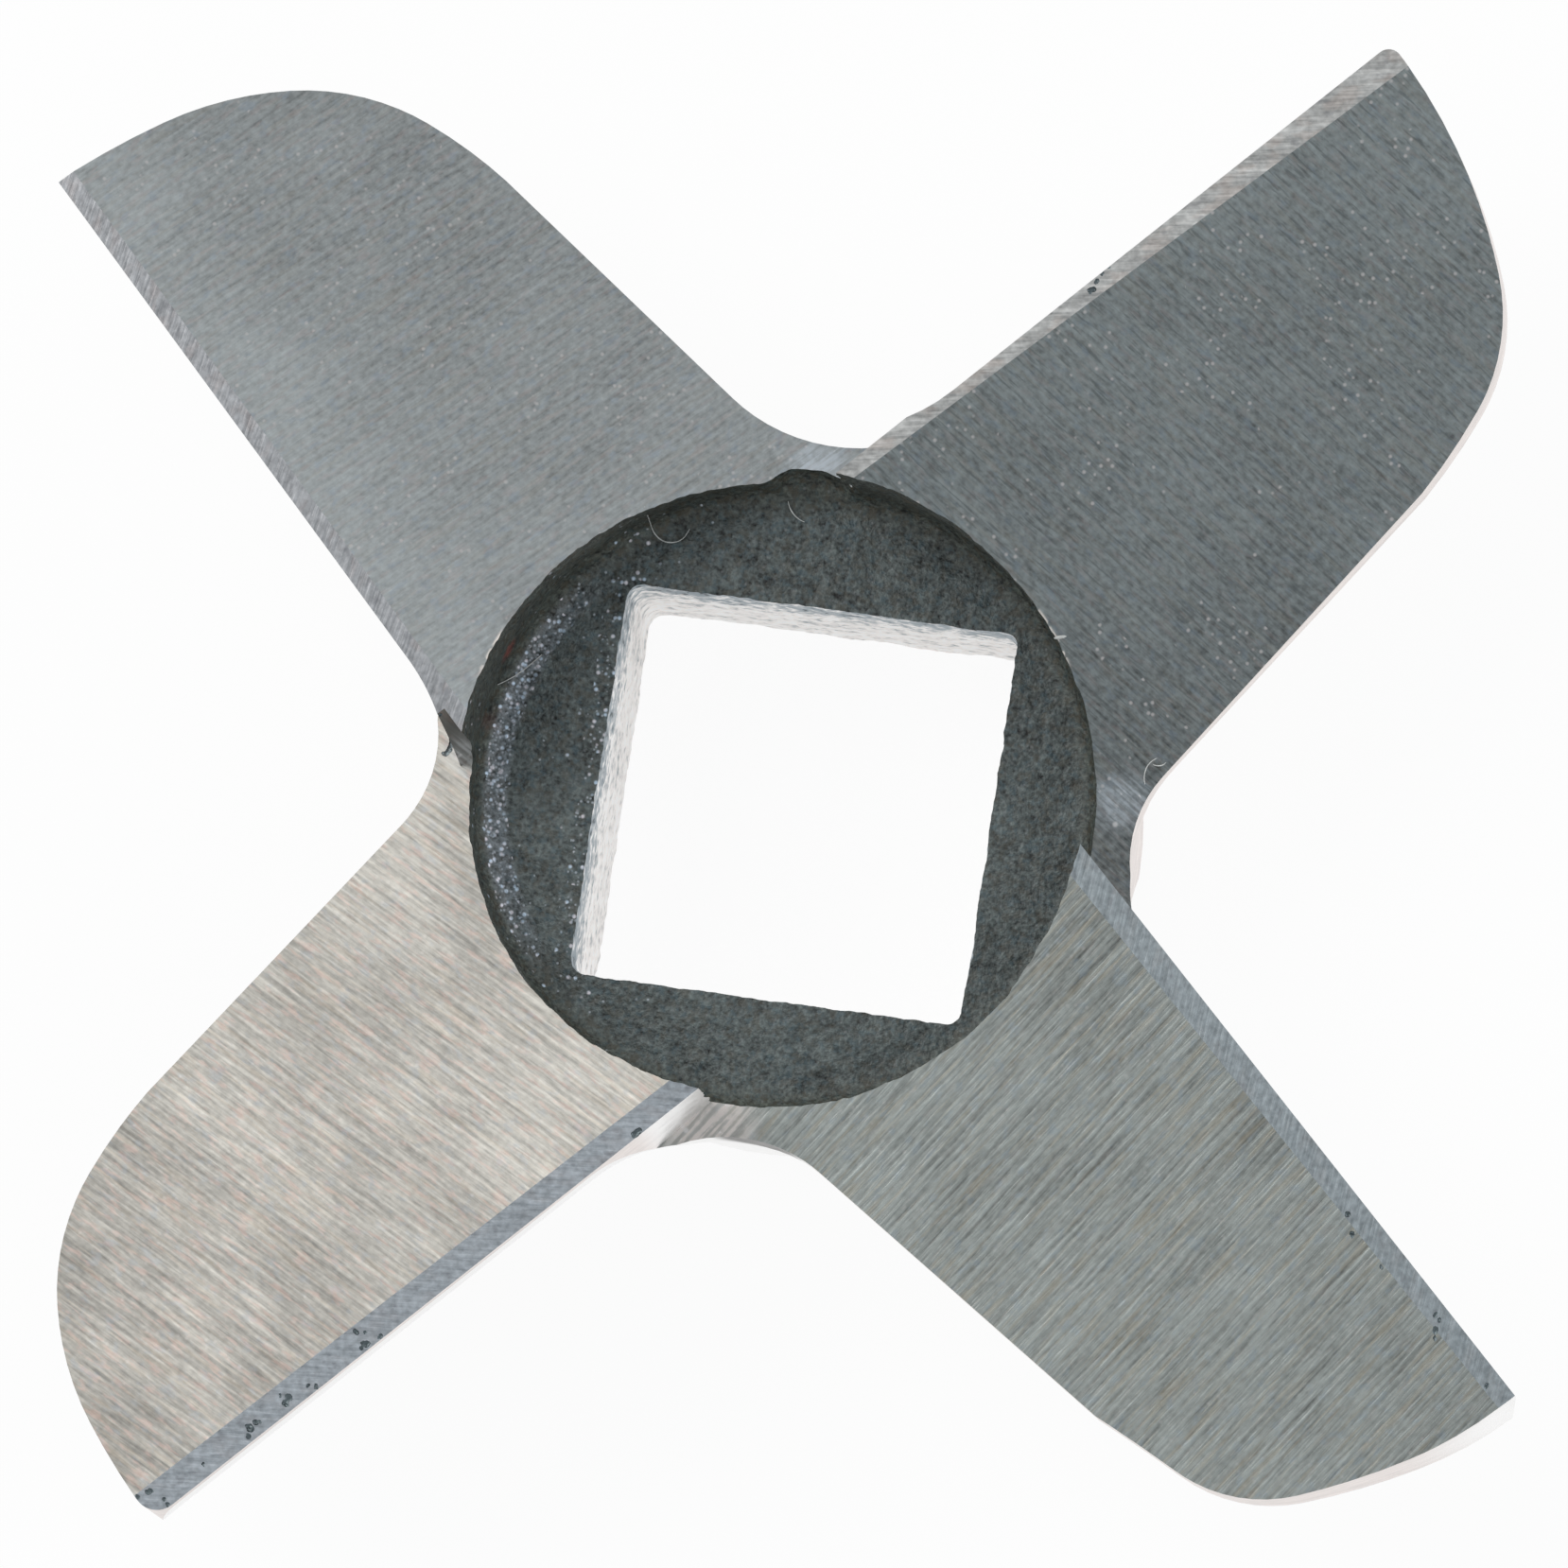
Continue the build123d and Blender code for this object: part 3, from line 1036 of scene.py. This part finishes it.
def cast_pocket():
    """Dull skin, as cast, with painted glints and sheen, rust and an olive painted shade."""
    sheet = Finish("cast pocket skin")
    sand = sheet.grain(0.15, 0.15, 0.0, (2, 1), depth=0.15) - 0.5
    lumps = sheet.grain(0.45, 0.45, 0.0, (5, 3), depth=0.45) - 0.5
    blotch = sheet.grain(2.5, 2.5, 0.0, (7, 9), depth=2.5) - 0.5
    # The tone falls towards the far side: painted shade.
    tone = sand * 3.2 + lumps * 1.6 + blotch * 0.9 + 1.0 - sheet.axis(1) * 0.018
    color = sheet.blend(1.0, rgba(CAST_DARK), tone, "MULTIPLY")
    radius = sheet.radius(POCKET_CENTRE)
    wall = radius.ramp(WALL_START, WALL_FULL)
    teal = sheet.grain(0.25, 0.25, 0.0, (1, 8), depth=0.25).ramp(0.5, 0.68)
    color = sheet.blend(teal * 0.5, color, rgba(TEAL))
    brown = sheet.grain(0.3, 0.3, 0.0, (8, 1), depth=0.3).ramp(0.48, 0.66)
    # Olive, stronger on the wall: partly the casting's own colour, partly painted shade.
    color = sheet.blend(brown * (wall * 0.3 + 0.5).clamp(), color, rgba(OLIVE))
    # The wall is multiplied darker: painted shade.
    color = sheet.blend(wall, color, rgba(WALL_SHADE), "MULTIPLY")
    grains = sheet.dots(0.16, 0.15, 0.35 - wall * 0.2, (6, 4))
    color = sheet.blend(grains * 0.3, color, rgba(GRAIN_PALE))
    holes = sheet.dots(0.21, 0.2, 0.35, (1, 7))
    color = sheet.blend(holes * 0.4, color, rgba(GRAIN_DARK))
    left = (sheet.axis(0) / radius * -1.0).ramp(0.3, 0.95)
    far = (sheet.axis(0) / radius * -1.0).ramp(0.72, 0.96)
    cove = radius.ramp(*COVE_INNER) * (1.0 - radius.ramp(*COVE_OUTER)) * far
    # The cove on the left gets a painted sheen.
    painted_shine = (sand * 2.0 + lumps + 0.5).clamp() * cove
    color = sheet.blend(painted_shine * 0.55, color, rgba(COVE_SHEEN))
    for spot, reach in RUST_SPOTS.items():
        rusty = 1.0 - sheet.distance(spot).ramp(0.15, reach)
        color = sheet.blend(rusty * (sand * 2.0 + 0.8).clamp(), color, rgba(RUST))
    # Painted glints: pale dots in the colour, on the left, in the cove and along the drive hole,
    # with more metal in them.
    lip = (1.0 - (sheet.axis(0) * -1.0).ramp(*LIP_EDGE)) * left
    share = cove * 0.7 + lip * 0.3 + left * 0.09 + 0.015
    glint = sheet.dots(0.2, 0.19, share, (11, 2))
    spark = sheet.dots(0.13, 0.12, share * 0.8, (3, 5))
    color = sheet.blend(spark * 0.55, color, rgba(SPARK))
    hue = sheet.grain(0.3, 0.3, 0.0, (9, 9), depth=0.3).ramp(0.4, 0.6)
    gleam = sheet.blend(hue, rgba(GLINT_PINK), rgba(GLINT_BLUE))
    color = sheet.blend(glint * 0.75, color, gleam)
    normal = sheet.bump(sand + lumps + 0.5, 0.06)
    sheet.surface(
        Base_Color=color,
        Metallic=(glint * 0.5 + 0.15).clamp(),
        Roughness=0.5,
        Normal=normal,
    )
    return sheet.material


refinish(knife, "cast pocket", cast_pocket())
print("cast pocket with", len(RUST_SPOTS), "rusty spots")

# %% [markdown]
# The drive walls are torn bright by the broach. The tears lie along the walls
# and crowd together under the pocket's floor, where the broach started to cut.

# %% Drive walls
BROACHED = (0.97, 0.94, 0.92)
TEAR_BLUE, TEAR_DARK = (0.27, 0.34, 0.39), (0.08, 0.10, 0.11)
TEARS_START, TEARS_FULL = 2.5, 6.3


def broached_walls():
    """Bright torn steel, darker towards the pocket."""
    sheet = Finish("broached walls")
    tears = sheet.grain(1.8, 1.8, 0.0, (4, 6), depth=0.25)
    flecks = sheet.grain(0.35, 0.35, 0.0, (4, 2), depth=0.3)
    high = sheet.axis(2).ramp(TEARS_START, TEARS_FULL)
    shade = (tears + flecks - 1.0) * -0.7 + 1.0
    color = sheet.blend(1.0, rgba(BROACHED), shade, "MULTIPLY")
    blue = (tears * 0.5 + flecks * 0.5 + high * 0.22).ramp(0.52, 0.74)
    color = sheet.blend(blue * 0.85, color, rgba(TEAR_BLUE))
    torn = (tears * 0.3 + flecks * 0.7 + high * 0.1).ramp(0.66, 0.75)
    color = sheet.blend(torn * 0.9, color, rgba(TEAR_DARK))
    normal = sheet.bump(tears + flecks, 0.04)
    sheet.surface(Base_Color=color, Metallic=0.6, Roughness=0.5, Normal=normal)
    return sheet.material


refinish(knife, "drive walls", broached_walls())
print("finished slots", [slot.material.name for slot in knife.material_slots])

# %% [markdown]
# Dirt stays: a few fibres of lint and one pale chip lie on the knife. A fibre is
# a short arc, given by its middle, its radius and the degrees it runs between. It
# follows the surface under it, and is a curve with a round bevel, thinner towards
# its capped ends.
# The caps come loose when the curve becomes a mesh, so they are welded on again.

# %% Lint
FIBRES = [
    (12.0, 2.3, 0.7, 122, 205),
    (11.65, 3.0, 0.35, -35, -110),
    (-5.35, 8.55, 0.63, 169, 351),
    (-16.6, 10.1, 10.0, -49.5, -39.5),
    (-0.85, 9.98, 0.83, 196, 257),
]
FIBRE_RADIUS = 0.022
FIBRE_STEPS = 10
FIBRE_LIFT = 0.05
FIBRE_TAPER = 0.5
CAP_WELD = 0.001
CHIP_PLACE = (8.08, 6.22)
CHIP_SIZE = (0.21, 0.06, 0.05)
CHIP_TURN = radians(17)
LINT_GREY = (0.52, 0.53, 0.52)


def make_fibre(x, y, radius, first, last):
    """One bent fibre that lies on the knife."""
    curve = bpy.data.curves.new("fibre", "CURVE")
    curve.dimensions = "3D"
    curve.bevel_depth = FIBRE_RADIUS * MM
    curve.bevel_resolution = 2
    curve.use_fill_caps = True
    spline = curve.splines.new("NURBS")
    spline.points.add(FIBRE_STEPS - 1)
    for step, point in enumerate(spline.points):
        turn = radians(first + (last - first) * step / (FIBRE_STEPS - 1))
        across, along = x + radius * cos(turn), y + radius * sin(turn)
        lift = FIBRE_LIFT * (1 + sin(3 * turn) ** 2)
        height = surface_height(across, along) + lift
        point.co = (across * MM, along * MM, height * MM, 1)
        point.radius = 1.0 - FIBRE_TAPER * abs(2 * step / (FIBRE_STEPS - 1) - 1)
    spline.order_u = 3
    spline.use_endpoint_u = True
    fibre = bpy.data.objects.new("fibre", curve)
    scene.collection.objects.link(fibre)
    return fibre


def make_lint():
    """The fibres and the chip, as one mesh."""
    fibres = [make_fibre(*fibre) for fibre in FIBRES]
    select(*fibres)
    bpy.ops.object.convert(target="MESH")
    x, y = CHIP_PLACE
    chip = fresh(
        bpy.ops.mesh.primitive_ico_sphere_add,
        subdivisions=3,
        radius=1.0,
        location=(x * MM, y * MM, (surface_height(x, y) + CHIP_SIZE[2] / 2) * MM),
        rotation=(0, 0, CHIP_TURN),
        scale=Vector(CHIP_SIZE) * MM,
    )
    place_applied(chip)
    lint = join([chip, *fibres], "lint")
    apply_modifier(lint, "WELD", merge_threshold=CAP_WELD * MM)
    sheet = Finish("lint")
    fuzz = sheet.grain(0.3, 0.3, 0.0, (1, 1), depth=0.3) - 0.5
    color = sheet.blend(1.0, rgba(LINT_GREY), fuzz + 1.0, "MULTIPLY")
    normal = sheet.bump(fuzz + 0.5, 0.01)
    sheet.surface(Base_Color=color, Roughness=0.6, Normal=normal)
    cover(lint, sheet.material)
    bpy.ops.object.shade_smooth()
    return lint


lint = make_lint()
print("lint", len(lint.data.polygons), "faces,", open_edges(lint), "open edges")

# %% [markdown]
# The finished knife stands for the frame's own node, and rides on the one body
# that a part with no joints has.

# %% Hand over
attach(knife, "root")
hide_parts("knife")
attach(lint, "root")
